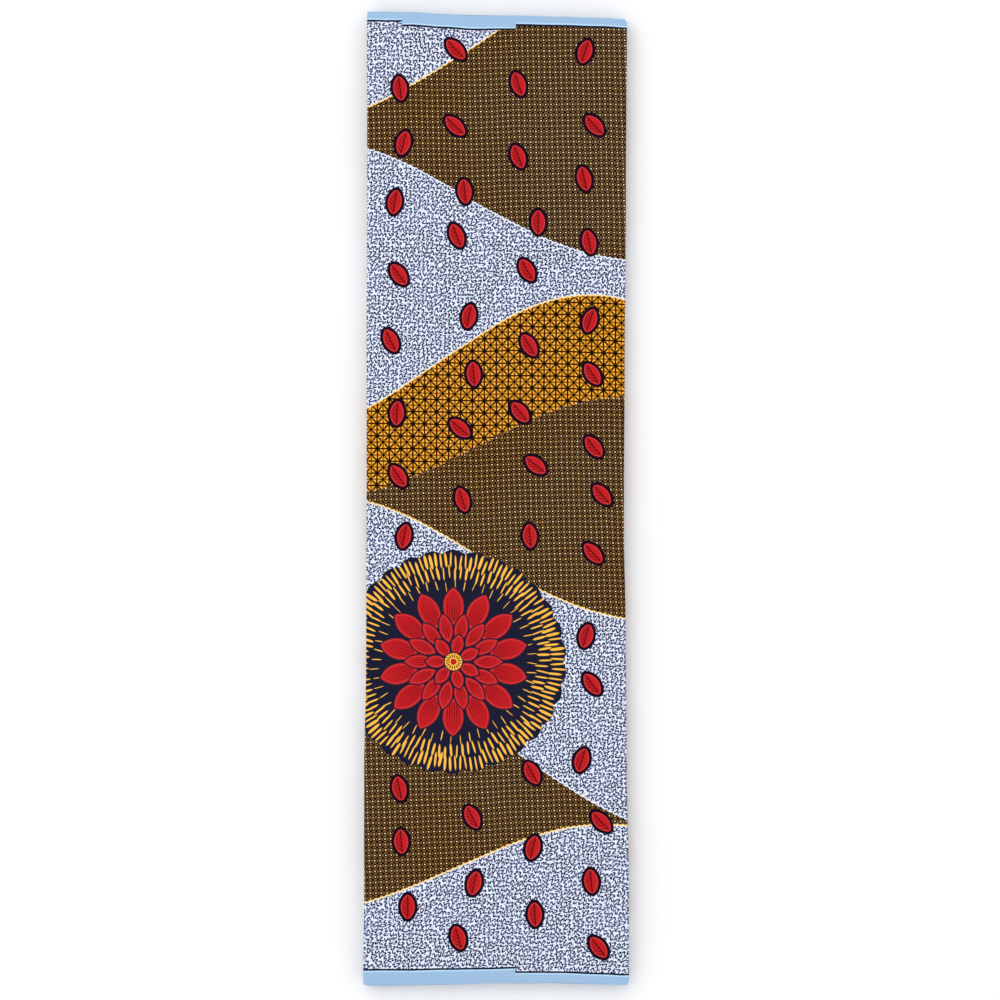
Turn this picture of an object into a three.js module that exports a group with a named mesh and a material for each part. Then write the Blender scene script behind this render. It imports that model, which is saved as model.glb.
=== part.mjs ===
// A full length of wax print cotton, folded back and forth into a long flat stack.
//
// Millimetres, +Z up. X runs across the folded width and Y from one selvedge to the
// other. The stack lies on Z = 0, with the middle of its underside at the origin.
//
// The cloth is one ribbon and one solid. Its cross-section is walked from the cut end
// at the bottom, panel by panel and fold by fold, to the cut end on top. The same walk
// is made at a row of stations from the lower selvedge to the upper one.

import * as THREE from 'three';

// Driving sizes: the sheet, the air between panels, how many panels there are, the
// width and length of a panel where it lies even, and the pull at the fold corners
const SHEET = 1;
const AIR = 0.35;
const PANELS = 18;
const EVEN_WIDTH = 303;
const EVEN_LENGTH = 1134;
const CORNER = 2.4;

// How fine the surface is: steps in a fold, stations along Y, and the shares of the
// length at which the corners and the margins end
const FOLD_STEPS = 4;
const MIDDLE_STATIONS = 15;
const CORNER_SHARE = 0.003;
const MARGIN_SHARE = 0.03;

// How strongly the swells fade towards the bottom of the stack
const SETTLING = 1.5;

// Sizes that follow from them
const PITCH = SHEET + AIR;
const HALF_SHEET = SHEET / 2;
const FOLD_RADIUS = PITCH / 2;
const TOP_LEVEL = PANELS - 1;

// Points across a panel, as shares of the way from one edge to the other
const ACROSS = [0, 0.06, 0.5, 0.94, 1];

// The folded edges of the top panel, from the lower selvedge up
const SIDES = [
  { y: -558, left: -155.6, right: 155.6 },
  { y: -441, left: -154.4, right: 155.6 },
  { y: -324, left: -154.4, right: 153.3 },
  { y: -178, left: -152.1, right: 152.1 },
  { y: -2, left: -151.5, right: 149.8 },
  { y: 174, left: -151.5, right: 150.9 },
  { y: 349, left: -150.9, right: 152.1 },
  { y: 554, left: -150.9, right: 153.3 },
];

// The selvedges of the top panel, from its left edge to its right one
const SELVEDGES = [
  { x: -152, lower: -569.6, upper: 570.0 },
  { x: -100, lower: -569.4, upper: 569.0 },
  { x: -62, lower: -568.6, upper: 566.8 },
  { x: -25, lower: -568.0, upper: 564.4 },
  { x: 22, lower: -567.1, upper: 565.2 },
  { x: 75, lower: -567.1, upper: 563.6 },
  { x: 122, lower: -568.4, upper: 562.0 },
  { x: 152, lower: -569.8, upper: 560.6 },
];

// The two cut ends and the folds between them, in the order in which the cloth runs.
// Rows lie on the left and on the right by turns. inset is how far a row lies inside
// the outline, lean is how much further at the upper selvedge, and slip is how far
// the cloth has moved there along Y.
const EDGES = [
  { inset: 2.4, lean: 1.1, slip: -1.2 },
  { inset: 0.9, lean: 0.6, slip: -0.4 },
  { inset: 1.3, lean: -0.5, slip: -0.9 },
  { inset: 0.3, lean: 1.0, slip: 0.3 },
  { inset: 0.7, lean: 0.9, slip: 0.2 },
  { inset: 1.5, lean: -0.8, slip: -0.6 },
  { inset: 1.8, lean: -1.2, slip: -1.1 },
  { inset: 0.5, lean: 0.4, slip: -0.2 },
  { inset: 0.4, lean: 0.7, slip: 0.4 },
  { inset: 1.1, lean: 0.5, slip: 0.6 },
  { inset: 1.6, lean: -0.9, slip: -0.3 },
  { inset: 0.6, lean: 0.9, slip: -0.8 },
  { inset: 0.5, lean: 1.2, slip: -0.5 },
  { inset: 1.4, lean: -0.7, slip: 0.5 },
  { inset: 1.2, lean: -0.4, slip: 0.3 },
  { inset: 0.4, lean: 0.6, slip: -0.4 },
  { inset: 0.9, lean: 0.3, slip: -0.7 },
  { inset: 0, lean: 0, slip: 0 },
  { inset: 0, lean: 0, slip: 0 },
];

// Soft swells where the stack lies a little proud: middle, height and reach
const SWELLS = [
  { x: -70, y: 430, high: 1.3, reach: 120 },
  { x: 95, y: 250, high: 1.0, reach: 110 },
  { x: -105, y: 60, high: 0.9, reach: 130 },
  { x: 60, y: -130, high: 1.2, reach: 120 },
  { x: -60, y: -330, high: 1.0, reach: 110 },
  { x: 105, y: -500, high: 1.6, reach: 85 },
  { x: 120, y: 545, high: 0.9, reach: 70 },
];

const { lerp, smoothstep, clamp } = THREE.MathUtils;

// A column of a table at a place between its rows, eased from row to row
function between(rows, key, place, column) {
  const held = clamp(place, rows[0][key], rows[rows.length - 1][key]);
  const next = Math.max(1, rows.findIndex((row) => row[key] >= held));
  const low = rows[next - 1];
  const high = rows[next];
  return lerp(low[column], high[column], smoothstep(held, low[key], high[key]));
}

// How far a level of the stack is lifted by the swells below it
function rise(x, y, level) {
  const full = SWELLS.reduce((sum, swell) => {
    const away = ((x - swell.x) ** 2 + (y - swell.y) ** 2) / swell.reach ** 2;
    return sum + swell.high * Math.exp(-away);
  }, 0);
  return full * (level / TOP_LEVEL) ** SETTLING;
}

// A selvedge at x: straight at the bottom of the stack, as drawn in on top
function selvedge(x, level, side, slip) {
  const straight = (side === 'upper' ? EVEN_LENGTH : -EVEN_LENGTH) / 2;
  return lerp(straight, between(SELVEDGES, 'x', x, side), level / TOP_LEVEL) + slip;
}

// How far the corners of the folds are pulled in at a station
function cornerPull(along) {
  return along === 0 || along === 1 ? CORNER : 0;
}

// The X at which the straight cloth of a row of EDGES ends
function edgeX(index, along) {
  const row = EDGES[index];
  const isLeft = index % 2 === 0;
  const isCutEnd = index === 0 || index === PANELS;
  const y = lerp(-EVEN_LENGTH / 2, EVEN_LENGTH / 2, along);
  const outline = between(SIDES, 'y', y, isLeft ? 'left' : 'right');
  const turn = isCutEnd ? 0 : FOLD_RADIUS + HALF_SHEET + cornerPull(along);
  const inward = row.inset + row.lean * along + turn;
  return isLeft ? outline + inward : outline - inward;
}

// One point of the walk: its two faces, half a sheet to either side of the middle
function ribbonPoint(x, level, heading, slip, along) {
  const evenX = clamp(x, -EVEN_WIDTH / 2, EVEN_WIDTH / 2);
  const lower = selvedge(evenX, level, 'lower', slip);
  const upper = selvedge(evenX, level, 'upper', slip);
  const y = lerp(lower, upper, along);
  const z = HALF_SHEET + level * PITCH + rise(x, y, level);
  const offX = -Math.sin(heading) * HALF_SHEET;
  const offZ = Math.cos(heading) * HALF_SHEET;
  return {
    left: new THREE.Vector3(x + offX, y, z + offZ),
    right: new THREE.Vector3(x - offX, y, z - offZ),
  };
}

// A flat panel, from the edge where the cloth comes in to the edge where it leaves
function panelPoints(panel, along) {
  const from = edgeX(panel, along);
  const to = edgeX(panel + 1, along);
  const heading = to > from ? 0 : Math.PI;
  return ACROSS.map((share) => {
    const slip = lerp(EDGES[panel].slip, EDGES[panel + 1].slip, share);
    return ribbonPoint(lerp(from, to, share), panel, heading, slip, along);
  });
}

// The half turn that joins a panel to the one above it, without its two ends
function foldPoints(panel, along) {
  const row = EDGES[panel + 1];
  const turnsRight = panel % 2 === 0;
  const side = turnsRight ? 1 : -1;
  const middle = edgeX(panel + 1, along);
  const points = [];
  for (let step = 1; step < FOLD_STEPS; step += 1) {
    const angle = -Math.PI / 2 + (step * Math.PI) / FOLD_STEPS;
    const x = middle + side * FOLD_RADIUS * Math.cos(angle);
    const level = panel + (1 + Math.sin(angle)) / 2;
    const heading = Math.PI / 2 + side * angle;
    points.push(ribbonPoint(x, level, heading, row.slip, along));
  }
  return points;
}

// The whole walk at one station
function walk(along) {
  const points = [];
  for (let panel = 0; panel < PANELS; panel += 1) {
    points.push(...panelPoints(panel, along));
    if (panel < TOP_LEVEL) {
      points.push(...foldPoints(panel, along));
    }
  }
  return points;
}

// Stations from the lower selvedge to the upper one, closer at the corners
function stationShares() {
  const middle = Array.from({ length: MIDDLE_STATIONS }, (_, index) =>
    lerp(MARGIN_SHARE, 1 - MARGIN_SHARE, index / (MIDDLE_STATIONS - 1)));
  return [0, CORNER_SHARE, ...middle, 1 - CORNER_SHARE, 1];
}

// The closed ribbon: two long faces, two cut ends and two selvedges
function ribbonGeometry(walks) {
  const pairCount = walks[0].length;
  const lastPair = pairCount - 1;
  const lastWalk = walks.length - 1;
  const positions = [];
  const indices = [];
  walks.forEach((points) => {
    points.forEach(({ left, right }) => positions.push(...left, ...right));
  });
  const left = (station, pair) => 2 * (station * pairCount + pair);
  const right = (station, pair) => left(station, pair) + 1;
  const quad = (a, b, c, d) => indices.push(a, b, c, a, c, d);
  for (let s = 0; s < lastWalk; s += 1) {
    for (let p = 0; p < lastPair; p += 1) {
      quad(left(s, p), left(s, p + 1), left(s + 1, p + 1), left(s + 1, p));
      quad(right(s, p), right(s + 1, p), right(s + 1, p + 1), right(s, p + 1));
    }
    quad(left(s, 0), left(s + 1, 0), right(s + 1, 0), right(s, 0));
    quad(left(s, lastPair), right(s, lastPair), right(s + 1, lastPair), left(s + 1, lastPair));
  }
  for (let p = 0; p < lastPair; p += 1) {
    quad(left(0, p), right(0, p), right(0, p + 1), left(0, p + 1));
    quad(left(lastWalk, p), left(lastWalk, p + 1), right(lastWalk, p + 1), right(lastWalk, p));
  }
  const geometry = new THREE.BufferGeometry();
  geometry.setAttribute('position', new THREE.Float32BufferAttribute(positions, 3));
  geometry.setIndex(indices);
  geometry.computeVertexNormals();
  return geometry;
}

// The folded length of cloth
function makeFoldedCloth() {
  const cotton = new THREE.MeshStandardMaterial({
    color: 0x7d6353,
    roughness: 0.78,
    metalness: 0,
  });
  const cloth = new THREE.Mesh(ribbonGeometry(stationShares().map(walk)), cotton);
  cloth.name = 'folded_cloth';
  return cloth;
}

const group = new THREE.Group();
group.add(makeFoldedCloth());

export default group;
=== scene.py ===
"""A full length of wax print cotton, folded back and forth, lying face up on a pale floor.

Metres, +Z up. X runs across the folded width and Y from the lower selvedge to the upper
one. The cloth is one closed sheet on the folds of the solid that it replaces, and its
print is worked out from the place on the cloth: how far along the length and how far
across it, both measured from the middle of the top panel.
"""

import logging
import math
from dataclasses import dataclass
from enum import Enum, IntEnum
from functools import partialmethod
from typing import NamedTuple

import bpy
import numpy as np
from bpy.types import ID, Material, Node, NodeSocket, NodeTree, Object
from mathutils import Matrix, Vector


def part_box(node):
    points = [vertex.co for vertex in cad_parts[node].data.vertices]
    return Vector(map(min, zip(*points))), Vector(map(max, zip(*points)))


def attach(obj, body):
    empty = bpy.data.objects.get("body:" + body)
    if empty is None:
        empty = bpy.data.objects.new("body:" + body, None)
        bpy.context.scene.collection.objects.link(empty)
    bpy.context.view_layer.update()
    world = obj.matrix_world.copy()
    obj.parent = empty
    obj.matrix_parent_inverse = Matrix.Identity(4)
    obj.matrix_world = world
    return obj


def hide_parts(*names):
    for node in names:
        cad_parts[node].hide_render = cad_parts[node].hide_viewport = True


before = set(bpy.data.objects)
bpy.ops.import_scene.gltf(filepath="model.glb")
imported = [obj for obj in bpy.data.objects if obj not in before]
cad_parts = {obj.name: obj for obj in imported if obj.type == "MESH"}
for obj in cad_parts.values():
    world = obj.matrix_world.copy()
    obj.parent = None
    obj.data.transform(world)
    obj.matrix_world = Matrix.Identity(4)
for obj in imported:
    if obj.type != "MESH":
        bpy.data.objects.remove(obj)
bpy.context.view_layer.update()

Array = np.ndarray
MM = 0.001
TURN = 2 * math.pi
CLOTH_NODE = "folded_cloth"
PIECE = "wax_print_length"
PRINT_MAP = "Cloth"
BAKE_MAP = "OFBake"
CLOTH_WIDTH = 1134 * MM
PRINT_REPEAT = 740 * MM
log = logging.getLogger(PIECE)


def table(columns: str, *rows: tuple) -> Array:
    """A table of numbers with named columns."""
    return np.array(list(rows), dtype=[(name, float) for name in columns.split()])


# The folded edges of the top panel, from the lower selvedge up, in millimetres
SIDES = table(
    "y left right",
    (-558, -155.6, 155.6),
    (-441, -154.4, 155.6),
    (-324, -154.4, 153.3),
    (-178, -152.1, 152.1),
    (-2, -151.5, 149.8),
    (174, -151.5, 150.9),
    (349, -150.9, 152.1),
    (554, -150.9, 153.3),
)

# The selvedges of the top panel, from its left edge to its right one, in millimetres
SELVEDGES = table(
    "x lower upper",
    (-152, -569.6, 570.0),
    (-100, -569.4, 569.0),
    (-62, -568.6, 566.8),
    (-25, -568.0, 564.4),
    (22, -567.1, 565.2),
    (75, -567.1, 563.6),
    (122, -568.4, 562.0),
    (152, -569.8, 560.6),
)

# The cut ends and the folds between them, in the order in which the cloth runs, left and
# right by turns: how far inside the outline, how much further at the upper selvedge, and
# how far the cloth has slipped along Y, in millimetres
EDGES = table(
    "inset lean slip",
    (2.4, 1.1, -1.2),
    (0.9, 0.6, -0.4),
    (1.3, -0.5, -0.9),
    (0.3, 1.0, 0.3),
    (0.7, 0.9, 0.2),
    (1.5, -0.8, -0.6),
    (1.8, -1.2, -1.1),
    (0.5, 0.4, -0.2),
    (0.4, 0.7, 0.4),
    (1.1, 0.5, 0.6),
    (1.6, -0.9, -0.3),
    (0.6, 0.9, -0.8),
    (0.5, 1.2, -0.5),
    (1.4, -0.7, 0.5),
    (1.2, -0.4, 0.3),
    (0.4, 0.6, -0.4),
    (0.9, 0.3, -0.7),
    (0.0, 0.0, 0.0),
    (0.0, 0.0, 0.0),
)

# Soft swells where the stack lies a little proud, in millimetres
SWELLS = table(
    "x y high reach",
    (-70, 430, 1.3, 120),
    (95, 250, 1.0, 110),
    (-105, 60, 0.9, 130),
    (60, -130, 1.2, 120),
    (-60, -330, 1.0, 110),
    (105, -500, 1.6, 85),
    (120, 545, 0.9, 70),
)


def eased(rows: Array, place: Array, column: str) -> Array:
    """A column of a table at places between its rows.

    Between two rows the value goes from one to the other as 3t^2 - 2t^3, with t the
    share of the way.

    Args:
        rows: The table, sorted by its first column.
        place: Places along that first column, in metres.
        column: The column to read.

    Returns:
        The column's values at the places, in metres.
    """
    key, value = rows[rows.dtype.names[0]], rows[column]
    held = np.clip(place / MM, key[0], key[-1])
    high = np.clip(np.searchsorted(key, held), 1, len(rows) - 1)
    share = (held - key[high - 1]) / (key[high] - key[high - 1])
    share = share * share * (3 - 2 * share)
    return MM * (value[high - 1] * (1 - share) + value[high] * share)


def crowded(count: int, crowding: float) -> Array:
    """Shares from 0 to 1, closer at both ends: t - crowding * sin(2 pi t) / (2 pi)."""
    even = np.linspace(0, 1, count)
    return even - crowding * np.sin(TURN * even) / TURN


def fading(away: Array, reach: float) -> Array:
    """A share that falls away from 1 as exp(-away / reach)."""
    return np.exp(-np.clip(away, 0, None) / reach)


def placed(name: str, data: ID) -> Object:
    """Puts a mesh, a lamp or a camera into the scene.

    Args:
        name: The name of the object.
        data: What the object holds.

    Returns:
        The object, at the origin.
    """
    thing = bpy.data.objects.new(name, data)
    bpy.context.scene.collection.objects.link(thing)
    return thing


@dataclass(frozen=True)
class Ripple:
    """A sine along one direction that is shifted from one panel of the stack to the next."""

    high: float
    length: float
    shift: float

    def at(self, place: Array, number: Array | int) -> Array:
        """Its height: high * sin(place / length + shift * number)."""
        return self.high * np.sin(place / self.length + self.shift * number)


class End(IntEnum):
    """The two selvedges, with the sign of their Y."""

    LOWER = -1
    UPPER = 1


class Side(IntEnum):
    """The two faces of the ribbon, seen along the way in which the cloth runs."""

    LEFT = 0
    RIGHT = 1


class Walk(NamedTuple):
    """The middle line of the ribbon, as arrays of stations by points."""

    x: Array
    level: Array
    heading: Array
    slip: Array


@dataclass(frozen=True)
class BakeSheet:
    """How the faces of the ribbon share a square picture, so that the top panel is sharp.

    The top panel's upper face takes two columns, a half of its length each. All other
    faces lie above them in two long strips, one for each side of the ribbon. Outer fold
    faces and the underside show, so they weigh more there than the hidden faces.
    """

    columns_high: float = 0.885
    gap: float = 0.006
    margin: float = 0.003
    hidden_weight: float = 0.04
    inner_fold_weight: float = 0.12
    outer_fold_weight: float = 1.0
    under_weight: float = 14.0

    @property
    def strip_high(self) -> float:
        """The height of one strip."""
        return (1 - self.columns_high - 3 * self.gap) / 2

    def columns(self, across: Array, along: Array, upper: Array) -> Array:
        """Places of the top face: the upper half of its length in the second column."""
        u = self.margin + across * (0.5 - self.gap - self.margin) + upper * 0.5
        return np.stack([u, self.margin + (2 * along - upper) * (self.columns_high - self.margin)], -1)

    def strip(self, side: Array, run: Array, along: Array) -> Array:
        """Places in the long strip of one side, from shares of the way down it."""
        start = self.columns_high + self.gap + side * (self.strip_high + self.gap)
        return np.stack([self.margin + along * (1 - 2 * self.margin), start + run * self.strip_high], -1)


@dataclass(frozen=True)
class FoldedLength:
    """The cloth itself: one sheet, folded back and forth into a stack of panels."""

    # The cloth and its stack
    width: float = CLOTH_WIDTH
    panels: int = 18
    sheet: float = 0.45 * MM
    stack_width: float = 303 * MM
    stack_height: float = 23.95 * MM
    fold_depth: float = 1.1 * MM
    corner: float = 2.4 * MM
    corner_reach: float = 2.5 * MM

    # How unevenly it lies
    settling: float = 1.5
    calm_on_top: float = 0.35
    calming: int = 4
    follow: float = 0.8
    fold_ripples: tuple = (Ripple(0.2 * MM, 49 * MM, 2.1), Ripple(0.1 * MM, 18.6 * MM, 4.3))
    selvedge_ripple: Ripple = Ripple(0.4 * MM, 29 * MM, 2.3)
    flutter_across: Ripple = Ripple(0.24 * MM, 41 * MM, 2.4)
    flutter_along: Ripple = Ripple(1.0, 67 * MM, 1.7)
    frill: Ripple = Ripple(0.7 * MM, 13 * MM, 0.22)
    frill_reach: float = 34 * MM
    droop: float = 0.9 * MM
    droop_reach: float = 7 * MM
    end_sag: float = 0.55 * MM
    end_reach: float = 14 * MM

    # How finely it is built
    stations: int = 118
    station_crowding: float = 0.88
    top_points: int = 41
    panel_points: int = 9
    panel_crowding: float = 0.6
    fold_points: int = 7
    sharp_angle: float = math.radians(50)
    baking: BakeSheet = BakeSheet()

    @property
    def top(self) -> int:
        """The level of the top panel."""
        return self.panels - 1

    @property
    def along(self) -> Array:
        """A column of stations, as shares of the way from selvedge to selvedge."""
        return crowded(self.stations, self.station_crowding)[:, None]

    @property
    def length(self) -> float:
        """The length of the cloth when it is unfolded, from cut end to cut end."""
        return float(np.ptp(self.surface()[1]))

    def stray(self, index: int, y: Array) -> Array:
        """How far a row of EDGES strays inwards: sines that never pass the outline."""
        calm = self.calm_on_top if index >= self.top else 1.0
        return calm * sum(ripple.high + ripple.at(y, index) for ripple in self.fold_ripples)

    def corner_pull(self, y: Array) -> Array:
        """How far a fold is drawn in near its corners: a bell at each selvedge."""
        return self.corner * np.exp(-(((self.width / 2 - np.abs(y)) / self.corner_reach) ** 2))

    def edge_x(self, index: int) -> Array:
        """The X at which the straight cloth of a row of EDGES ends.

        Args:
            index: The row of EDGES. Even rows lie on the left, odd rows on the right.

        Returns:
            One X for each station.
        """
        row = EDGES[index]
        is_left = index % 2 == 0
        y = (self.along - 0.5) * self.width
        outline = eased(SIDES, y, "left" if is_left else "right")
        inward = MM * (row["inset"] + row["lean"] * self.along) + self.stray(index, y)
        if 0 < index < self.panels:
            inward = inward + self.fold_depth + self.sheet / 2 + self.corner_pull(y)
        return outline + inward if is_left else outline - inward

    def panel_walk(self, panel: int) -> Walk:
        """A flat panel, from the edge where the cloth comes in to where it leaves.

        Args:
            panel: The panel, counted from the bottom.

        Returns:
            Its part of the middle line.
        """
        count = self.top_points if panel == self.top else self.panel_points
        share = crowded(count, self.panel_crowding)
        start, end = self.edge_x(panel), self.edge_x(panel + 1)
        slips = MM * EDGES["slip"][panel : panel + 2]
        x = start + (end - start) * share
        heading = math.pi if panel % 2 else 0.0
        return Walk(*np.broadcast_arrays(x, panel, heading, slips[0] + np.diff(slips) * share))

    def fold_walk(self, panel: int) -> Walk:
        """The half turn that joins a panel to the one above it, without its two ends.

        Args:
            panel: The lower of the two panels.

        Returns:
            Its part of the middle line: half an ellipse, one panel rise high.
        """
        side = -1 if panel % 2 else 1
        angle = np.linspace(-np.pi / 2, np.pi / 2, self.fold_points + 2)[1:-1]
        x = self.edge_x(panel + 1) + side * self.fold_depth * np.cos(angle)
        level = panel + (1 + np.sin(angle)) / 2
        slip = MM * EDGES["slip"][panel + 1]
        return Walk(*np.broadcast_arrays(x, level, np.pi / 2 + side * angle, slip))

    def walk(self) -> Walk:
        """The whole middle line, panel by panel and fold by fold, from the bottom up."""
        pairs = [(self.panel_walk(panel), self.fold_walk(panel)) for panel in range(self.top)]
        return Walk(*map(np.hstack, zip(*sum(pairs, ()), self.panel_walk(self.top))))

    def selvedge(self, x: Array, level: Array, end: End) -> Array:
        """A selvedge at x: drawn in as on top, but a little straighter further down.

        Each panel's selvedge strays from that as a sine of its own.

        Args:
            x: Places across the folded width.
            level: Height in the stack, counted in panels.
            end: Which selvedge.

        Returns:
            The selvedge's Y at each place.
        """
        calm = 1 - (1 - self.calm_on_top) * (level / self.top) ** self.calming
        share = self.follow + (1 - self.follow) * level / self.top
        straight = end * self.width / 2
        drawn = eased(SELVEDGES, x, end.name.lower())
        stray = calm * self.selvedge_ripple.at(x, level + end)
        return straight * (1 - share) + drawn * share + stray

    def lift(self, x: Array, y: Array, level: Array) -> Array:
        """How far the cloth stands above an even stack.

        It is the sum of the swells as bells, a frill near the selvedges, a droop towards
        the folds, and each panel's flutter as a product of two sines. The bottom panel
        lies flat.

        Args:
            x: Places across the folded width.
            y: Places from selvedge to selvedge.
            level: Height in the stack, counted in panels.

        Returns:
            The lift at each place.
        """
        lift = self.frill.at(x * np.sign(y), level)
        lift = lift * fading(self.width / 2 - np.abs(y), self.frill_reach)
        for swell in SWELLS:
            away = np.hypot(x / MM - swell["x"], y / MM - swell["y"]) / swell["reach"]
            lift += MM * swell["high"] * np.exp(-(away**2))
        left, right = (eased(SIDES, y, column) for column in ("left", "right"))
        lift -= self.droop * fading(np.minimum(x - left, right - x), self.droop_reach)
        flutter = self.flutter_across.at(x, level) * self.flutter_along.at(y, level)
        return (level / self.top) ** self.settling * lift + np.clip(level, 0, 1) * flutter

    def end_drop(self, x: Array, level: Array) -> Array:
        """How far the uppermost cut end, at the left, sinks onto the panel below it."""
        near = np.clip(1 - (x - eased(SIDES, 0 * x, "left")) / self.end_reach, 0, 1)
        return self.end_sag * near * near * (level == self.top)

    def surface(self) -> tuple[Array, Array]:
        """Points of both sides of the ribbon, and how far along the cloth they lie.

        Each lies half a sheet to the left or right of the middle line, at a right angle
        to the way in which the cloth runs there.

        Returns:
            Points as stations by pairs by sides by three, and the run of each pair:
            its distance along the cloth from the middle of the top panel.
        """
        line = self.walk()
        even_x = np.clip(line.x, -self.stack_width / 2, self.stack_width / 2)
        lower, upper = (self.selvedge(even_x, line.level, end) + line.slip for end in End)
        y = lower + (upper - lower) * self.along
        pitch = (self.stack_height - self.sheet) / self.top
        z = self.sheet / 2 + line.level * pitch + self.lift(line.x, y, line.level)
        middle = np.stack([line.x, y, z - self.end_drop(line.x, line.level)], -1)
        off = np.stack([-np.sin(line.heading), 0 * y, np.cos(line.heading)], -1)
        points = np.stack([middle + off * self.sheet / 2, middle - off * self.sheet / 2], 2)
        station = middle[self.stations // 2]
        steps = np.hypot(np.diff(station[:, 0]), np.diff(station[:, 2]))
        run = np.concatenate([[0.0], np.cumsum(steps)])
        top = slice(-self.top_points, None)
        return points, np.interp(0.0, station[top, 0][::-1], run[top][::-1]) - run

    def face_corners(self, pairs: int) -> Array:
        """Every face as four corners, each a station, a pair and a side.

        The section of the ribbon is one loop: up its left side and back down its right
        one. Faces join it from station to station, and close it at both selvedges.

        Args:
            pairs: How many pairs of points a station has.

        Returns:
            An array of faces by four corners by three.
        """
        left, right = Side
        loop_pair = np.concatenate([np.arange(pairs), np.arange(pairs)[::-1]])
        loop_side = np.repeat([left, right], pairs)
        station = np.arange(self.stations - 1)[:, None, None] + np.array([0, 0, 1, 1])
        step = (np.arange(2 * pairs)[:, None] + np.array([0, 1, 1, 0])) % (2 * pairs)
        around = np.broadcast_arrays(station, loop_pair[step], loop_side[step])
        cell = np.arange(pairs - 1)[:, None]
        lower = np.broadcast_arrays(0, cell + [0, 0, 1, 1], [left, right, right, left])
        last = self.stations - 1
        upper = np.broadcast_arrays(last, cell + [0, 1, 1, 0], [left, left, right, right])
        parts = [np.stack(part, -1).reshape(-1, 4, 3) for part in (around, lower, upper)]
        return np.concatenate(parts)

    def strip_runs(self, pairs: int) -> Array:
        """Shares of the way down the two bake strips, for each side and pair.

        Args:
            pairs: How many pairs of points a station has.

        Returns:
            An array of sides by pairs, from 0 to 1.
        """
        sheet = self.baking
        weights = np.full((2, pairs - 1), sheet.hidden_weight)
        block = self.panel_points + self.fold_points
        for panel in range(self.top):
            fold = slice(panel * block + self.panel_points - 1, (panel + 1) * block)
            outer = Side.LEFT if panel % 2 else Side.RIGHT
            weights[outer, fold] = sheet.outer_fold_weight / self.fold_points
            weights[1 - outer, fold] = sheet.inner_fold_weight / self.fold_points
        weights[Side.RIGHT, : self.panel_points - 1] = sheet.under_weight / self.panel_points
        run = np.pad(np.cumsum(weights, axis=1), ((0, 0), (1, 0)))
        return run / run[:, -1:]

    def bake_places(self, corners: Array, run: Array) -> Array:
        """Where each face corner lies on the bake picture.

        Args:
            corners: Faces by four corners by station, pair and side.
            run: The run of each pair.

        Returns:
            Faces by four corners by two.
        """
        station, pair, side = np.moveaxis(corners, -1, 0)
        first_top = len(run) - self.top_points
        shares = self.along[:, 0]
        strips = self.baking.strip(side, self.strip_runs(len(run))[side, pair], shares[station])
        across = (run[pair] - run[-1]) / (run[first_top] - run[-1])
        middle = int(np.argmin(np.abs(shares - 0.5)))
        upper = np.broadcast_to(station.min(1, keepdims=True) >= middle, station.shape)
        columns = self.baking.columns(across, shares[station], upper)
        on_top = (side == Side.RIGHT).all(1) & (pair >= first_top).all(1)
        return np.where(on_top[:, None, None], columns, strips)

    def build(self) -> Object:
        """Makes the closed sheet with its print map and its bake map.

        Returns:
            The cloth's object, at the origin.
        """
        points, run = self.surface()
        corners = self.face_corners(len(run))
        station, pair, side = np.moveaxis(corners, -1, 0)
        faces = (station * len(run) + pair) * len(Side) + side
        mesh = bpy.data.meshes.new(PIECE)
        mesh.from_pydata(points.reshape(-1, 3).tolist(), [], faces.tolist())
        place = np.stack([run[pair], (self.along[station, 0] - 0.5) * self.width], -1)
        maps = ((PRINT_MAP, place), (BAKE_MAP, self.bake_places(corners, run)))
        for name, places in maps:
            layer = mesh.uv_layers.new(name=name)
            layer.data.foreach_set("uv", places.astype(np.float32).ravel())
        mesh.uv_layers.active = mesh.uv_layers[PRINT_MAP]
        mesh.shade_smooth()
        mesh.set_sharp_from_angle(angle=self.sharp_angle)
        return placed(PIECE, mesh)


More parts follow.
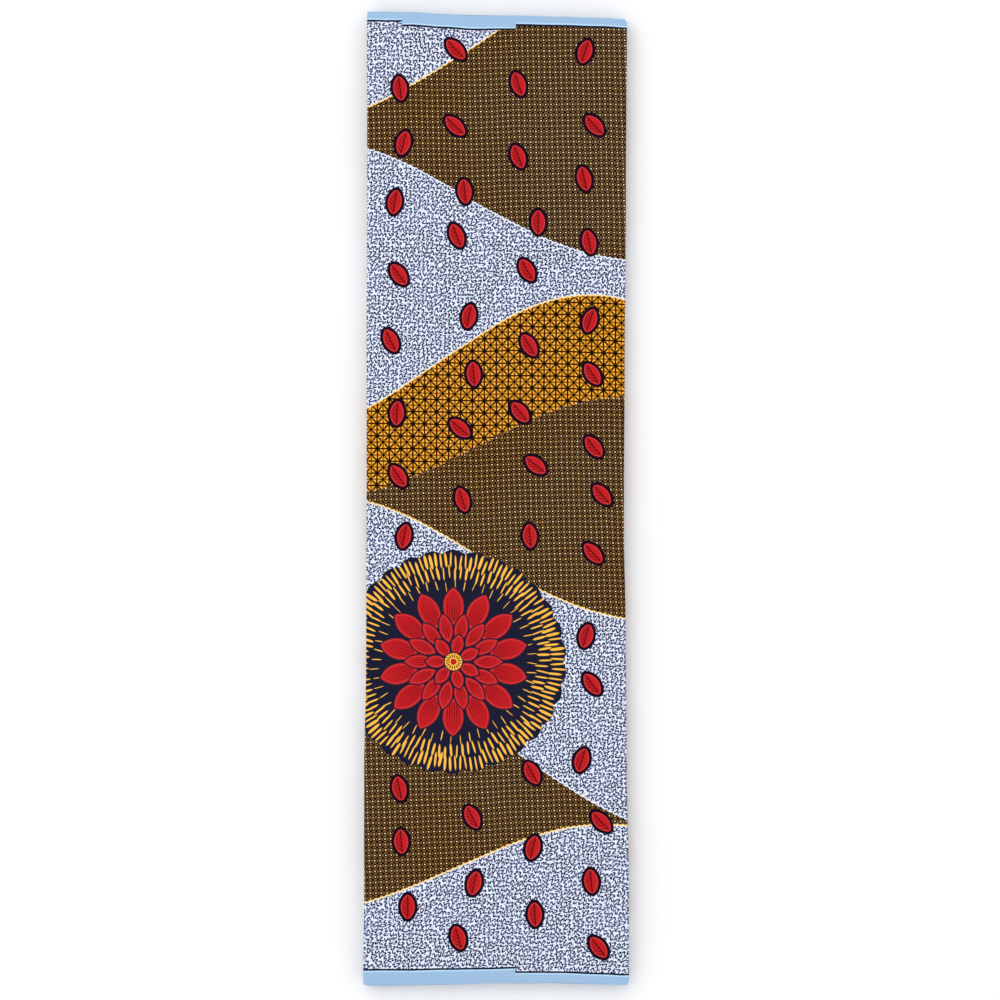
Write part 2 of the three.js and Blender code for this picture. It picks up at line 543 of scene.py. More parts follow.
@dataclass(frozen=True)
class Field:
    """A number that varies over the cloth, held as an output socket of a node tree.

    Python's operators on fields add the matching math nodes, so that a formula reads
    as it would on paper.
    """

    tree: NodeTree
    socket: NodeSocket

    def sums(self, operation: str, *others: "Field | float") -> "Field":
        """Adds one math node, with the field as its first input."""
        inputs = dict(enumerate((self, *others)))
        return first_output(self.tree, "Math", inputs, operation=operation)

    # Operators and functions that are one math node each
    __add__ = partialmethod(sums, "ADD")
    __sub__ = partialmethod(sums, "SUBTRACT")
    __rsub__ = partialmethod(sums, "MULTIPLY_ADD", -1.0)
    __mul__ = partialmethod(sums, "MULTIPLY")
    __truediv__ = partialmethod(sums, "DIVIDE")
    __abs__ = partialmethod(sums, "ABSOLUTE")
    sin = partialmethod(sums, "SINE")
    cos = partialmethod(sums, "COSINE")
    root = partialmethod(sums, "SQRT")
    floor = partialmethod(sums, "FLOOR")
    fraction = partialmethod(sums, "FRACT")
    least = partialmethod(sums, "MINIMUM")
    either = partialmethod(sums, "MAXIMUM")

    def spread(self, width: float) -> "Field":
        """A share from 0 to 1 as a number about zero, within a width."""
        return (self - 0.5) * width

    def wrapped(self, step: float = 1.0, shift: float = 0.0) -> "Field":
        """How far the field lies from the middle of its step, with its sign."""
        return (self / step + shift).fraction().spread(step)

    def hypot(self, other: "Field") -> "Field":
        """The length of the long side of a right triangle."""
        return (self * self + other * other).root()

    def below(self, limit: float, soft: float = 0.3 * MM) -> "Field":
        """A mask that goes from 1 under a limit to 0 over it, within a soft edge."""
        inputs = {"Value": self, "From Min": limit + soft / 2, "From Max": limit - soft / 2}
        return first_output(self.tree, "MapRange", inputs)

    def above(self, limit: float, soft: float = 0.3 * MM) -> "Field":
        """A mask that goes from 0 under a limit to 1 over it, within a soft edge."""
        return self.below(limit, -soft)


def plug(tree: NodeTree, value: object, place: NodeSocket) -> None:
    """Gives an input its value: a link from a field or a socket, or a plain value.

    Args:
        tree: The tree of both.
        value: A Field, a socket, a number or a tuple of numbers.
        place: The input.
    """
    if isinstance(value, Field):
        value = value.socket
    if isinstance(value, NodeSocket):
        tree.links.new(value, place)
    else:
        place.default_value = value


def added(tree: NodeTree, kind: str, inputs: dict, **options: object) -> Node:
    """Adds a shader node.

    Args:
        tree: The tree that it goes into.
        kind: Its type, without Blender's ShaderNode before it.
        inputs: Values by the name or the number of the input that they go into.
        **options: Its settings.

    Returns:
        The node.
    """
    node = tree.nodes.new("ShaderNode" + kind)
    for name, value in options.items():
        setattr(node, name, value)
    for name, value in inputs.items():
        plug(tree, value, node.inputs[name])
    return node


def first_output(tree: NodeTree, kind: str, inputs: dict, **options: object) -> Field:
    """Adds a shader node, as above, and gives its first output."""
    return Field(tree, added(tree, kind, inputs, **options).outputs[0])


def set_inputs(tree: NodeTree, node: str, values: dict) -> None:
    """Gives inputs of a node their values, by the names of the node and of the inputs."""
    for name, value in values.items():
        plug(tree, value, tree.nodes[node].inputs[name])


def dye(code: str) -> tuple[float, float, float, float]:
    """A colour from its hex code, as linear light.

    Args:
        code: Six hex digits after a hash.

    Returns:
        Red, green, blue and full alpha.
    """
    shares = [int(code[i : i + 2], 16) / 255 for i in (1, 3, 5)]
    linear = [c / 12.92 if c <= 0.04045 else ((c + 0.055) / 1.055) ** 2.4 for c in shares]
    return (*linear, 1.0)


@dataclass(frozen=True)
class Dyes:
    """The colours of the print."""

    navy: tuple = dye("#1a1b30")
    navy_deep: tuple = dye("#17071a")
    ink: tuple = dye("#16224f")
    ink_pale: tuple = dye("#55629c")
    white: tuple = dye("#e1e8f8")
    umber: tuple = dye("#0e0400")
    net: tuple = dye("#7d5f3d")
    net_warm: tuple = dye("#7e5526")
    cream: tuple = dye("#ffe7b8")
    gold: tuple = dye("#f9cd70")
    soot: tuple = dye("#120902")
    maroon: tuple = dye("#340400")
    amber: tuple = dye("#f7b844")
    amber_deep: tuple = dye("#e59d24")
    amber_shade: tuple = dye("#763a00")
    red: tuple = dye("#ba1d22")
    red_dark: tuple = dye("#3d0309")
    pink: tuple = dye("#c8514f")
    selvedge: tuple = dye("#9bbad9")
    selvedge_deep: tuple = dye("#8dafd1")
    selvedge_light: tuple = dye("#b1d6f2")


DYES = Dyes()


@dataclass
class Canvas:
    """A shader tree in which colours are laid over each other by formulas on fields."""

    tree: NodeTree
    colour: object = None

    def vector(self, x: Field | float, y: Field | float) -> NodeSocket:
        """Two fields as one vector."""
        return added(self.tree, "CombineXYZ", {"X": x, "Y": y}).outputs[0]

    def parts(self, vector: NodeSocket) -> list[Field]:
        """The three parts of a vector or of a colour."""
        node = added(self.tree, "SeparateXYZ", {0: vector})
        return [Field(self.tree, part) for part in node.outputs]

    def chance(self, x: Field, y: Field | float) -> list[Field]:
        """Three numbers from 0 to 1 that are fixed for each pair of whole numbers."""
        noise = added(self.tree, "TexWhiteNoise", {0: self.vector(x, y)}, noise_dimensions="2D")
        return self.parts(noise.outputs["Color"])

    def cloud(self, x: Field, y: Field | float, size: float, detail: float = 2.0) -> Field:
        """Smooth noise from 0 to 1 with blots of about a given size."""
        inputs = {"Vector": self.vector(x, y), "Scale": 1 / size, "Detail": detail}
        return first_output(self.tree, "TexNoise", inputs, noise_dimensions="2D")

    def lay(self, share: Field | NodeSocket, over: object) -> None:
        """Lays a colour over the one that is there, as much of it as a mask says."""
        inputs = {"Factor": share, 6: self.colour, 7: over}
        self.colour = added(self.tree, "Mix", inputs, data_type="RGBA").outputs[2]

    def place(self, group: NodeTree, x: Field, y: Field) -> Node:
        """Puts a pattern's group in at two fields."""
        inputs = {"X": x, "Y": y}
        return added(self.tree, "Group", inputs, node_tree=group, label=group.name)


class Pattern(Canvas):
    """A shader node group that draws one part of the print from two fields, x and y."""

    def __init__(self, name: str, colour: object = None) -> None:
        """Starts the group.

        Args:
            name: The group's name.
            colour: The colour that all others are laid over.
        """
        super().__init__(bpy.data.node_groups.new(name, "ShaderNodeTree"), colour)
        for label in ("X", "Y"):
            self.tree.interface.new_socket(label, in_out="INPUT", socket_type="NodeSocketFloat")
        entry = self.tree.nodes.new("NodeGroupInput")
        self.x, self.y = (Field(self.tree, entry.outputs[label]) for label in ("X", "Y"))

    def rough(self, size: float, high: float) -> Field:
        """Smooth noise about zero with blots of about a given size."""
        return self.cloud(self.x, self.y, size).spread(high)

    def give(self, **numbers: Field) -> NodeTree:
        """Ends the group with its colour, if it has one, and with numbers.

        Args:
            **numbers: Fields by the name of the output.

        Returns:
            The group's tree.
        """
        outputs = {"Colour": self.colour, **numbers} if self.colour else numbers
        for label in outputs:
            kind = "NodeSocketColor" if label == "Colour" else "NodeSocketFloat"
            self.tree.interface.new_socket(label, in_out="OUTPUT", socket_type=kind)
        way_out = self.tree.nodes.new("NodeGroupOutput")
        for label, value in outputs.items():
            plug(self.tree, value, way_out.inputs[label])
        return self.tree


def turned(x: Field, y: Field, angle: Field) -> tuple[Field, Field]:
    """A place seen from axes that are turned by an angle."""
    cos, sin = angle.cos(), angle.sin()
    return x * cos + y * sin, y * cos - x * sin


def lens(aside: Field, along: Field, half_width: float, half_length: float) -> Field:
    """How far a place lies outside two arcs that meet in points, below zero inside."""
    # The distance to the centre of the arc on the place's own side, less the radius
    radius = (half_width**2 + half_length**2) / (2 * half_width)
    return (aside + (radius - half_width)).hypot(along) - radius


class Cut(NamedTuple):
    """Where a mask is cut out of a field: the limit, and how wide its soft edge is."""

    limit: float
    soft: float


@dataclass(frozen=True)
class DotNet:
    """Cream dots in dark rings on a brown net, with a dark spot between each four.

    The net is warmer in patches, and more of its dots are golden there.
    """

    pitch: float = 6.28 * MM
    dot: float = 0.77 * MM
    ring: float = 2.4 * MM
    spot: float = 1.65 * MM
    uneven: float = 0.16 * MM
    skew: float = 0.035
    patch: float = 260 * MM
    warm: Cut = Cut(0.5, 0.4)
    golden: Cut = Cut(1.05, 0.5)

    def group(self) -> NodeTree:
        """Builds the repeat: circles about the middles and the corners of a square net.

        Returns:
            A group with the repeat's colour.
        """
        made = Pattern("Dot net", DYES.net)
        x, y = made.x + made.y * self.skew, made.y - made.x * self.skew
        size, tint, _ = made.chance((x / self.pitch).floor(), (y / self.pitch).floor())
        away = x.wrapped(self.pitch).hypot(y.wrapped(self.pitch)) + size.spread(self.uneven)
        between = x.wrapped(self.pitch, 0.5).hypot(y.wrapped(self.pitch, 0.5))
        warmth = made.cloud(made.x, made.y, self.patch)
        made.lay(warmth.above(*self.warm), DYES.net_warm)
        made.lay(between.below(self.spot), DYES.umber)
        made.lay(away.below(self.ring), DYES.umber)
        dot = away.below(self.dot)
        made.lay(dot, DYES.cream)
        made.lay(dot * (tint + warmth).above(*self.golden), DYES.gold)
        return made.give()


@dataclass(frozen=True)
class Lattice:
    """Dark lines and blots on amber, joined by short slanting strokes."""

    wide: float = 13.9 * MM
    high: float = 14.5 * MM
    line: float = 0.95 * MM
    crossing: float = 2.4 * MM
    middle: float = 2.0 * MM
    stroke: float = 1.0 * MM
    stroke_reach: Cut = Cut(0.26, 0.03)
    faint: float = 1.05 * MM
    faint_share: float = 0.8
    wobble: float = 0.5 * MM
    wobble_size: float = 8 * MM
    blotch: Cut = Cut(0.5, 0.3)
    blotch_size: float = 5 * MM

    def group(self) -> NodeTree:
        """Builds the repeat from the distances to its lines, middles and diagonals.

        Returns:
            A group with the repeat's colour.
        """
        made = Pattern("Lattice", DYES.amber)
        wobble = made.rough(self.wobble_size, self.wobble)
        a = abs(((made.x + wobble) / self.wide).wrapped())
        b = abs(((made.y - wobble) / self.high).wrapped())
        to_line = ((0.5 - a) * self.wide).least((0.5 - b) * self.high)
        to_middle = a.hypot(b) * self.wide
        to_crossing = (0.5 - a).hypot(0.5 - b) * self.wide
        to_diagonal = abs(a - b) * (self.wide / math.sqrt(2))
        strokes = to_diagonal.below(self.stroke) * abs(a + b - 0.5).below(*self.stroke_reach)
        faint = (a * self.wide).least(b * self.high)
        blotches = made.cloud(made.x, made.y, self.blotch_size).above(*self.blotch)
        made.lay(blotches, DYES.amber_deep)
        made.lay(faint.below(self.faint) * self.faint_share, DYES.amber_shade)
        made.lay(to_line.below(self.line).either(strokes), DYES.maroon)
        made.lay(to_middle.below(self.middle).either(to_crossing.below(self.crossing)), DYES.soot)
        return made.give()


@dataclass(frozen=True)
class Squiggles:
    """Short bent strokes of ink on white, each turned its own way.

    The ink is paler in patches, and along the seams of the repeat.
    """

    cell: float = 5.1 * MM
    uneven: float = 0.55
    half_width: float = 0.97 * MM
    half_length: float = 3.9 * MM
    bend: float = 1.6 * MM
    uneven_bend: float = 0.6
    wave: float = 4.9 * MM
    centring: float = 0.5
    lean: float = -0.7
    swing: float = 1.6
    apart: float = 0.1 * MM
    patch: float = 34 * MM
    patch_detail: float = 3.0
    repeat: float = 75 * MM
    repeat_shift: float = 0.3
    seam: float = 4.5 * MM
    seam_share: float = 0.12
    pale: Cut = Cut(0.56, 0.22)
    pale_share: float = 0.3

    def group(self) -> NodeTree:
        """Builds the strokes: in each cell a piece of a sine wave, turned at random.

        A place lies on the stroke if its distance to the wave, divided by the slant of
        the wave there, is less than half the stroke's width.

        Returns:
            A group with the repeat's colour.
        """
        made = Pattern("Squiggles", DYES.ink)
        at = made.vector(made.x, made.y)
        cells = {"Vector": at, "Scale": 1 / self.cell, "Randomness": self.uneven}
        nearest, rim = (
            added(made.tree, "TexVoronoi", cells, voronoi_dimensions="2D", feature=feature)
            for feature in ("F1", "DISTANCE_TO_EDGE")
        )
        to_rim = Field(made.tree, rim.outputs["Distance"]) * self.cell
        turn, size, start = made.parts(nearest.outputs["Color"])
        middle_x, middle_y, _ = made.parts(nearest.outputs["Position"])
        angle = turn.spread(self.swing) + self.lean
        along, aside = turned(made.x - middle_x, made.y - middle_y, angle)
        step = TURN / self.wave
        bend = (size.spread(self.uneven_bend) + 1.0) * self.bend
        start = start * TURN
        phase = along * step + start
        slope = bend * phase.cos() * step
        steep = (slope * slope + 1.0).root()
        away = abs(aside - bend * (phase.sin() - start.sin() * self.centring)) / steep
        stroke = away.below(self.half_width) * abs(along).below(self.half_length)
        stroke = stroke * to_rim.above(self.apart)
        x, y = made.x.wrapped(self.repeat), made.y.wrapped(self.repeat, self.repeat_shift)
        seams = abs(x).least(abs(y)).below(0.0, 2 * self.seam) * self.seam_share
        patches = made.cloud(made.x, made.y, self.patch, self.patch_detail)
        made.lay((patches + seams).above(*self.pale) * self.pale_share, DYES.ink_pale)
        made.lay(1.0 - stroke, DYES.white)
        return made.give()


@dataclass(frozen=True)
class Ring:
    """Like motifs round a middle: how many, where, half of their size, and their turn.

    The turn is a share of one motif's sector.
    """

    count: int
    middle: float
    half_length: float
    half_width: float
    turn: float = 0.0

    def aside(self, angle: Field) -> Field:
        """The angle between a place and the axis of the nearest motif."""
        return angle.wrapped(TURN / self.count, self.turn)


@dataclass(frozen=True)
class Rosette:
    """A large round flower: rings of red petals inside a rim of amber strokes."""

    x: float = -50 * MM
    y: float = -190 * MM
    radius: float = 131 * MM
    scallops: int = 30
    scallop_depth: float = 4.6 * MM
    fringes: tuple = (
        Ring(128, 119 * MM, 9 * MM, 1.45 * MM, 0.0),
        Ring(98, 105 * MM, 8 * MM, 1.2 * MM, 0.3),
        Ring(52, 90 * MM, 6 * MM, 0.55 * MM, 0.7),
    )
    uneven_ends: float = 0.9
    thinnest: float = 0.6
    bluntness: float = 4.0
    slant: float = 1.7 * MM
    petals: tuple = (
        Ring(14, 65 * MM, 22 * MM, 12 * MM, 0.0),
        Ring(14, 40 * MM, 17 * MM, 7.6 * MM, 0.5),
        Ring(7, 20.5 * MM, 12 * MM, 7 * MM, 0.0),
    )
    outline: float = 1.5 * MM
    vein: Cut = Cut(0.13, 0.1)
    vein_pitch: float = 2.7 * MM
    vein_clear: float = 2.9 * MM
    vein_end: float = 0.25
    vein_fade: float = 1.2
    glint: float = 0.3 * MM
    glint_share: float = 0.6
    heart: float = 10 * MM
    eye: float = 3.6 * MM
    seeds: int = 16
    seed_ends: tuple = (5 * MM, 9 * MM)
    seed_half_width: float = 0.6 * MM

    def offset(self, x: Field, y: Field) -> tuple[Field, Field]:
        """How far a place lies from the nearest flower's middle, right and up."""
        return (x - self.x).wrapped(PRINT_REPEAT, 0.5), y - self.y

    def strokes(self, made: Pattern, r: Field, angle: Field, ring: Ring) -> Field:
        """A ring of short radial strokes with uneven ends.

        A stroke's width goes with 1 - t^bluntness, where t runs from -1 to 1 along it.

        Args:
            made: The group.
            r: Distance from the flower's middle.
            angle: Angle round it.
            ring: Where the strokes stand, and their size.

        Returns:
            The mask of the strokes.
        """
        number = (angle * (ring.count / TURN) + ring.turn).floor()
        short, thick, lean = made.chance(number, ring.count)
        t = (r - ring.middle) / ring.half_length + short.spread(self.uneven_ends)
        taper = 1.0 - t.sums("POWER", self.bluntness)
        width = (thick + 1.0) * self.thinnest * taper * ring.half_width
        return (abs(r * ring.aside(angle) + lean.spread(self.slant) * t) - width).below(0.0)

    def lay_petals(self, made: Pattern, r: Field, angle: Field, ring: Ring) -> None:
        """Lays a ring of pointed petals, each two arcs that meet at its ends.

        Args:
            made: The group.
            r: Distance from the flower's middle.
            angle: Angle round it.
            ring: Where the petals stand, and their size.
        """
        bend = ring.aside(angle)
        out, aside = r * bend.cos() - ring.middle, abs(r * bend.sin())
        away = lens(aside, out, ring.half_width, ring.half_length)
        veins = abs((aside / self.vein_pitch).wrapped()).below(*self.vein)
        veins = veins * out.below(self.vein_end * ring.half_length, self.vein_fade * ring.half_length)
        made.lay(away.below(self.outline), DYES.navy)
        made.lay(away.below(0.0), DYES.red)
        made.lay(veins * away.below(-self.vein_clear), DYES.red_dark)
        made.lay(abs(away + self.outline).below(self.glint) * self.glint_share, DYES.pink)

    def group(self) -> NodeTree:
        """Builds the flower from the distance to its middle and the angle round it.

        Returns:
            A group with the flower's colour and its mask.
        """
        made = Pattern("Rosette", DYES.navy)
        x, y = self.offset(made.x, made.y)
        r, angle = x.hypot(y), y.sums("ARCTAN2", x)
        for ring in self.fringes:
            made.lay(self.strokes(made, r, angle, ring), DYES.amber)
        for ring in self.petals:
            self.lay_petals(made, r, angle, ring)
        made.lay(r.below(self.heart + self.outline), DYES.navy)
        made.lay(r.below(self.heart), DYES.amber)
        seeds = abs(angle.wrapped(TURN / self.seeds) * r).below(self.seed_half_width)
        seeds = seeds * r.above(self.seed_ends[0]) * r.below(self.seed_ends[1])
        made.lay(seeds, DYES.maroon)
        made.lay(r.below(self.eye), DYES.red)
        bend = angle.wrapped(TURN / self.scallops)
        depth = self.scallop_depth / (math.pi / self.scallops) ** 2
        whole = (r + bend * bend * depth).below(self.radius)
        return made.give(Mask=whole)


@dataclass(frozen=True)
class Leaves:
    """Red leaves with a navy outline, strewn over all the bands in a loose half-drop.

    A leaf that would touch a rosette or a selvedge is left out.
    """

    spacing: float = 74 * MM
    stray: float = 13 * MM
    half_width: float = 11.4 * MM
    half_length: float = 19 * MM
    blunt: float = 1.6 * MM
    blunt_soft: float = 2 * MM
    outline: float = 3.3 * MM
    rough: float = 1.1 * MM
    rough_size: float = 3 * MM
    swing: float = 0.62
    lean: float = 0.3
    clear: float = 20 * MM
    highest: float = 531 * MM
    rib: float = 0.6 * MM
    vein: Cut = Cut(0.13, 0.08)
    vein_pitch: float = 4.4 * MM
    vein_slope: float = 1.1
    vein_clear: float = 5.2 * MM
    vein_start: float = 0.9 * MM
    vein_side: float = 1.5 * MM
    glint_inset: float = 0.9 * MM
    glint: float = 0.35 * MM
    glint_share: float = 0.55
    rosette: Rosette = Rosette()

    def group(self) -> NodeTree:
        """Builds the motif: two arcs that meet in points, with a midrib and side veins.

        Returns:
            A group with the leaf's colour and its mask.
        """
        made = Pattern("Leaves", DYES.navy_deep)
        column = (made.x / self.spacing).floor()
        drop = (column * 0.5).fraction() * self.spacing
        row = ((made.y + drop) / self.spacing).floor()
        side, up, turn = made.chance(column, row)
        middle_x = (column + 0.5) * self.spacing + side.spread(2 * self.stray)
        middle_y = (row + 0.5) * self.spacing - drop + up.spread(2 * self.stray)
        far_x, far_y = self.rosette.offset(middle_x, middle_y)
        kept = far_x.hypot(far_y).above(self.rosette.radius + self.clear)
        kept = kept * abs(middle_y).below(self.highest)
        sway = turn.spread(2 * self.swing) + self.lean
        x, y = turned(made.x - middle_x, made.y - middle_y, sway)
        aside = abs(x)
        away = lens(aside, y, self.half_width, self.half_length)
        past_tip = abs(y) - (self.half_length - self.blunt)
        away = away.sums("SMOOTH_MAX", past_tip, self.blunt_soft)
        veins = abs(((y - aside * self.vein_slope) / self.vein_pitch).wrapped()).below(*self.vein)
        veins = veins * aside.above(self.vein_start) * x.below(self.vein_side)
        rib = aside.below(self.rib) * away.below(-self.outline - self.rough)
        made.lay(away.below(-self.outline), DYES.red)
        glint = abs(away + self.outline + self.glint_inset).below(self.glint)
        made.lay(glint * self.glint_share, DYES.pink)
        made.lay((veins * away.below(-self.vein_clear)).either(rib), DYES.red_dark)
        whole = (away + made.rough(self.rough_size, self.rough)).below(0.0)
        return made.give(Mask=whole * kept)


@dataclass(frozen=True)
class Selvedges:
    """The light blue woven edges, with a navy line and a deeper blank panel in each."""

    upper_depth: float = 9.6 * MM
    lower_depth: float = 11.4 * MM
    panel_depth: float = 5.2 * MM
    panel_ends: tuple = (-111 * MM, 21 * MM)
    panel_shift: float = 40 * MM
    line: float = 2.2 * MM
    pale: float = 1.7 * MM
    wave: float = 2.2 * MM
    wave_size: float = 70 * MM
    rough: float = 0.5 * MM
    rough_size: float = 4 * MM
    shade: float = 0.35
    shade_size: float = 60 * MM
    shade_stretch: float = 4.0
    shade_detail: float = 4.0

    def group(self) -> NodeTree:
        """Builds both edges from the distance to the nearer selvedge.

        Returns:
            A group with the colour of the edges and their mask.
        """
        made = Pattern("Selvedges", DYES.selvedge)
        low, high = self.panel_ends
        x = (made.x - (high + low) / 2).wrapped(PRINT_REPEAT, 0.5)
        is_lower = made.y.below(0.0)
        shift = is_lower * self.panel_shift
        panel = (abs(x + shift) - shift).below((high - low) / 2)
        depth = is_lower * (self.lower_depth - self.upper_depth) + panel * self.panel_depth
        inward = CLOTH_WIDTH / 2 - self.upper_depth - depth - abs(made.y)
        wave = made.cloud(made.x, 0.0, self.wave_size).spread(self.wave)
        inward = inward + wave + made.rough(self.rough_size, self.rough)
        shade = made.cloud(made.x, made.y * self.shade_stretch, self.shade_size, self.shade_detail)
        made.lay(shade * self.shade, DYES.selvedge_deep)
        made.lay(inward.above(-self.pale), DYES.selvedge_light)
        made.lay(inward.above(0.0), DYES.navy)
        return made.give(Mask=inward.below(self.line))


class Ground(Enum):
    """The three small repeats that fill the broad bands of the print."""

    SQUIGGLES = Squiggles
    DOT_NET = DotNet
    LATTICE = Lattice


@dataclass(frozen=True)
class Band:
    """The lower edge of a band: a wave along the cloth, and what fills the band above.

    The edge lies at middle + swing * sin(2 pi * along / repeat + turn), and some edges
    are drawn with a thin golden line.
    """

    ground: Ground
    middle: float
    swing: float
    turn: float
    gilt: bool = False


@dataclass(frozen=True)
class Bands:
    """The broad bands, with scalloped edges and a blank strip beside the bent strokes."""

    bottom: Ground = Ground.SQUIGGLES
    edges: tuple = (
        Band(Ground.DOT_NET, -430 * MM, 52 * MM, 0.4, True),
        Band(Ground.SQUIGGLES, -300 * MM, 84 * MM, 2.9),
        Band(Ground.DOT_NET, -66 * MM, 70 * MM, 3.3, True),
        Band(Ground.LATTICE, 62 * MM, 62 * MM, 0.2),
        Band(Ground.SQUIGGLES, 158 * MM, 84 * MM, 0.6, True),
        Band(Ground.DOT_NET, 352 * MM, 66 * MM, 3.4),
        Band(Ground.SQUIGGLES, 522 * MM, 82 * MM, 0.35, True),
    )
    gilt_width: float = 1.5 * MM
    blank: float = 1.5 * MM
    scallop: float = 1.3 * MM
    scallop_pitch: float = 6.28 * MM
    wobble: float = 1.6 * MM
    wobble_size: float = 30 * MM

    def group(self) -> NodeTree:
        """Builds the bands from the lowest up, each laid over all that lies below it.

        Returns:
            A group with the colour of the bands.
        """
        made = Pattern("Bands")
        wobble = made.rough(self.wobble_size, self.wobble)
        x, y = made.x + wobble, made.y - wobble
        nodes = {ground: made.place(ground.value().group(), x, y) for ground in Ground}
        fill = {ground: node.outputs["Colour"] for ground, node in nodes.items()}
        scallops = abs((made.x * (math.pi / self.scallop_pitch)).sin()) * self.scallop
        made.colour, below = fill[self.bottom], self.bottom
        for band in self.edges:
            edge = (made.x * (TURN / PRINT_REPEAT) + band.turn).sin() * band.swing
            height = made.y - edge - band.middle + scallops
            low = -self.blank if below is Ground.SQUIGGLES else 0.0
            high = self.blank if band.ground is Ground.SQUIGGLES else 0.0
            made.lay(height.above(low), DYES.white)
            made.lay(height.above(high), fill[band.ground])
            if band.gilt:
                made.lay(abs(height).below(self.gilt_width / 2), DYES.gold)
            below = band.ground
        return made.give()


@dataclass(frozen=True)
class CottonRelief:
    """The plain weave and its uneven threads: a height in metres, and a shade that is partly yarn tone
    and partly painted shade.
    """

    thread: float = 0.36 * MM
    deep: float = 0.006 * MM
    slub: float = 0.03 * MM
    slub_size: float = 14 * MM
    slub_stretch: float = 30.0
    crease: float = 0.25 * MM
    crease_size: float = 45 * MM
    detail: float = 3.0

    def group(self) -> NodeTree:
        """Builds the relief: crossing sines, noise drawn out along each thread, creases.

        Returns:
            A group with the height and the shade.
        """
        made = Pattern("Cotton relief")
        weave = (made.x * (TURN / self.thread)).sin() * (made.y * (TURN / self.thread)).sin()
        warp = made.cloud(made.x, made.y * self.slub_stretch, self.slub_size, self.detail)
        weft = made.cloud(made.x * self.slub_stretch, made.y, self.slub_size, self.detail)
        crease = made.cloud(made.x, made.y, self.crease_size, self.detail)
        height = weave * self.deep + (warp + weft) * self.slub + crease * self.crease
        # The shade follows the same slub noise as the height: lighter on the raised slubs, darker on the
        # thin threads, partly uneven yarn and partly painted shade
        return made.give(Height=height, Shade=warp + weft - 1.0)


@dataclass(frozen=True)
class PrintedCotton:
    """The finish of the whole cloth: its print, its weave and a faint wax sheen."""

    roughness: float = 0.78
    uneven_roughness: float = 0.25
    # How far the relief's shade scales the colour: yarn tone and painted shade on the slubs
    slub_tone_and_shade: float = 0.12
    specular: float = 0.03

    def material(self) -> Material:
        """Builds the material: bands, then leaves, rosettes and selvedges over them.

        Returns:
            The material.
        """
        material = bpy.data.materials.new("Wax print cotton")
        material.use_nodes = True
        tree = material.node_tree
        made = Canvas(tree)
        x, y, _ = made.parts(added(tree, "UVMap", {}, uv_map=PRINT_MAP).outputs["UV"])
        made.colour = made.place(Bands().group(), x, y).outputs["Colour"]
        for layer in (Leaves(), Rosette(), Selvedges()):
            motif = made.place(layer.group(), x, y)
            made.lay(motif.outputs["Mask"], motif.outputs["Colour"])
        relief = made.place(CottonRelief().group(), x, y)
        shade = Field(tree, relief.outputs["Shade"])
        # Painted shade with yarn tone: the print's colour is made darker on the thin threads and lighter
        # on the raised slubs
        inputs = {0: made.colour, "Scale": shade * self.slub_tone_and_shade + 1.0}
        toned_and_shaded = added(tree, "VectorMath", inputs, operation="SCALE")
        bump = added(tree, "Bump", {"Distance": 1.0, "Height": relief.outputs["Height"]})
        values = {
            "Base Color": toned_and_shaded.outputs[0],
            "Roughness": shade * self.uneven_roughness + self.roughness,
            "Normal": bump.outputs[0],
            "Specular IOR Level": self.specular,
        }
        set_inputs(tree, "Principled BSDF", values)
        return material


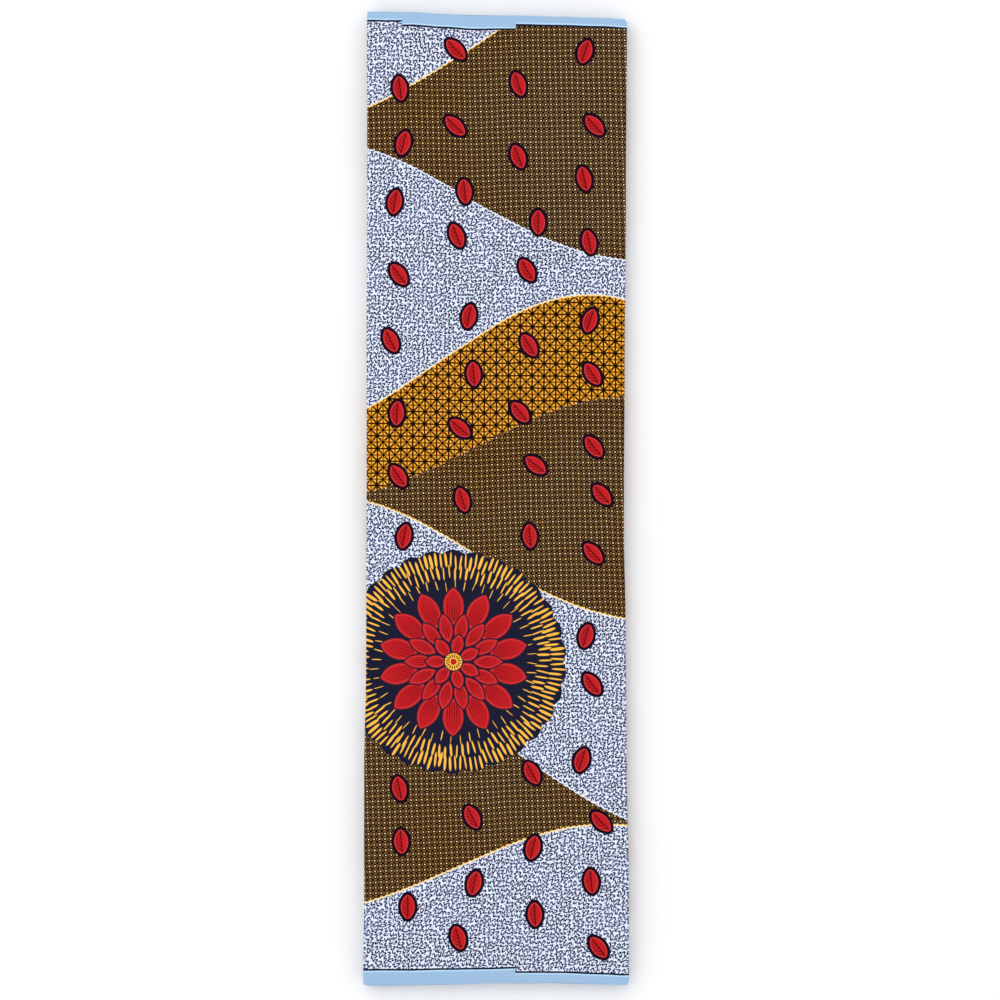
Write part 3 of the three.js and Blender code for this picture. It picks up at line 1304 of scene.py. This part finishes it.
@dataclass(frozen=True)
class Studio:
    """The pale floor, the soft lights and the camera straight above the cloth."""

    picture: float = 1000.0
    metres_per_pixel: float = 1.17 * MM
    cloth_middle: tuple = (496.0, 498.3)
    camera_height: float = 5.0
    sensor: float = 36.0
    floor_size: float = 90.0
    floor_colour: tuple = (0.93, 0.93, 0.935, 1.0)
    floor_roughness: float = 0.9
    floor_specular: float = 0.1
    sky: float = 0.97
    sky_colour: tuple = (1.0, 1.0, 1.0, 1.0)
    key_size: float = 3.0
    key_power: float = 26.0
    key_place: tuple = (-1.0, 0.9, 3.2)

    def floor(self) -> None:
        """Makes the floor as a plain sheet of paper-like white."""
        half = self.floor_size / 2
        mesh = bpy.data.meshes.new("floor")
        corners = [(-half, -half, 0), (half, -half, 0), (half, half, 0), (-half, half, 0)]
        mesh.from_pydata(corners, [], [(0, 1, 2, 3)])
        material = bpy.data.materials.new("Pale floor")
        material.use_nodes = True
        values = {
            "Base Color": self.floor_colour,
            "Roughness": self.floor_roughness,
            "Specular IOR Level": self.floor_specular,
        }
        set_inputs(material.node_tree, "Principled BSDF", values)
        mesh.materials.append(material)
        floor = placed("floor", mesh)

    def lights(self) -> None:
        """Makes an even sky and one large soft light above and to the left."""
        world = bpy.data.worlds.new("Studio")
        world.use_nodes = True
        values = {"Color": self.sky_colour, "Strength": self.sky}
        set_inputs(world.node_tree, "Background", values)
        bpy.context.scene.world = world
        lamp = bpy.data.lights.new("key", "AREA")
        lamp.shape = "DISK"
        lamp.size = self.key_size
        lamp.energy = self.key_power
        key = placed("key", lamp)
        key.location = self.key_place
        key.rotation_euler = (-Vector(self.key_place)).to_track_quat("-Z", "Y").to_euler()

    def camera(self, height: float) -> None:
        """Makes the camera, which looks straight down.

        Args:
            height: The height of the cloth's face, where the scale holds.
        """
        data = bpy.data.cameras.new("camera")
        data.sensor_width = self.sensor
        data.lens = self.sensor * self.camera_height / (self.picture * self.metres_per_pixel)
        camera = placed("camera", data)
        camera.location = (
            (self.picture / 2 - self.cloth_middle[0]) * self.metres_per_pixel,
            (self.cloth_middle[1] - self.picture / 2) * self.metres_per_pixel,
            height + self.camera_height,
        )
        bpy.context.scene.camera = camera


def main() -> None:
    """Builds the studio and the cloth, and reports each piece."""
    logging.basicConfig(level=logging.INFO, format="%(name)s: %(message)s")
    studio = Studio()
    studio.camera(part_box(CLOTH_NODE)[1].z)
    studio.floor()
    studio.lights()
    folded = FoldedLength()
    cloth = folded.build()
    cloth.data.materials.append(PrintedCotton().material())
    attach(cloth, "root")
    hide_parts(CLOTH_NODE)
    folded.length
    faces = len(cloth.data.polygons)
    log.info("cloth of %.3f m by %.3f m in %d faces", folded.width, folded.length, faces)
    bpy.context.scene.view_settings.view_transform = "Standard"


if __name__ == "__main__":
    main()
